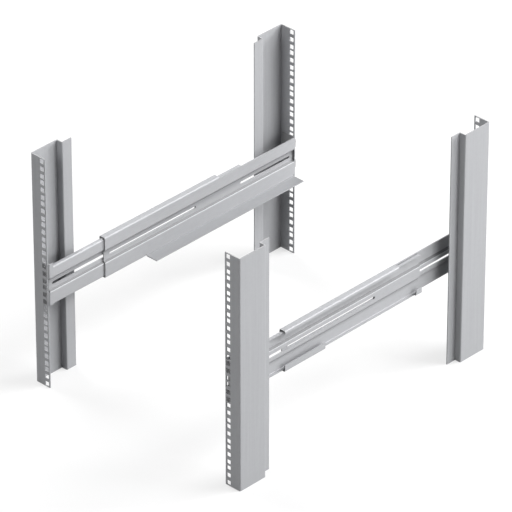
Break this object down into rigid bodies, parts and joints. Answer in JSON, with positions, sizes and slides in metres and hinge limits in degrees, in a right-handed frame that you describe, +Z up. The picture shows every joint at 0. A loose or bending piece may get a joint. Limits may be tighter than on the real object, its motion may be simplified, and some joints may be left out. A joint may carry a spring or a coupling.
{
  "type": "server rail pair",
  "caption": "Telescoping support rails between four square-hole rack posts, each a slotted channel sliding in a wrapped rear part with a server ledge.",
  "frame": {"origin": "bottom centre of the bounding box, on the plane that the four posts stand on", "axes": "+X to the right across the rack, front at -Y, depth along Y, +Z up the posts"},
  "size_m": [0.522, 0.6576, 0.489],
  "materials": {
    "post_steel": "satin zinc-grey sheet steel",
    "rail_steel": "satin zinc-plated sheet steel",
    "nut_steel": "zinc-plated steel nuts",
    "screw_steel": "zinc-plated steel fasteners"
  },
  "bodies": {
    "rear_frame": {"post_rear_left": "post_steel", "post_rear_right": "post_steel", "rear_rail_left": "rail_steel", "rear_rail_right": "rail_steel", "rear_nuts_left": "nut_steel", "rear_nuts_right": "nut_steel", "rear_washers_left": "screw_steel", "rear_washers_right": "screw_steel", "rear_screws_left": "screw_steel", "rear_screws_right": "screw_steel"},
    "front_left": {"post_front_left": "post_steel", "front_rail_left": "rail_steel", "front_nuts_left": "nut_steel"},
    "front_right": {"post_front_right": "post_steel", "front_rail_right": "rail_steel", "front_nuts_right": "nut_steel"}
  },
  "joints": [
    {"name": "depth_slide_left", "type": "slide", "parent": "rear_frame", "child": "front_left", "axis": [0, -1, 0], "range_m": [-0.125, 0.241]},
    {"name": "depth_slide_right", "type": "slide", "parent": "rear_frame", "child": "front_right", "axis": [0, -1, 0], "range_m": [-0.125, 0.241]}
  ]
}
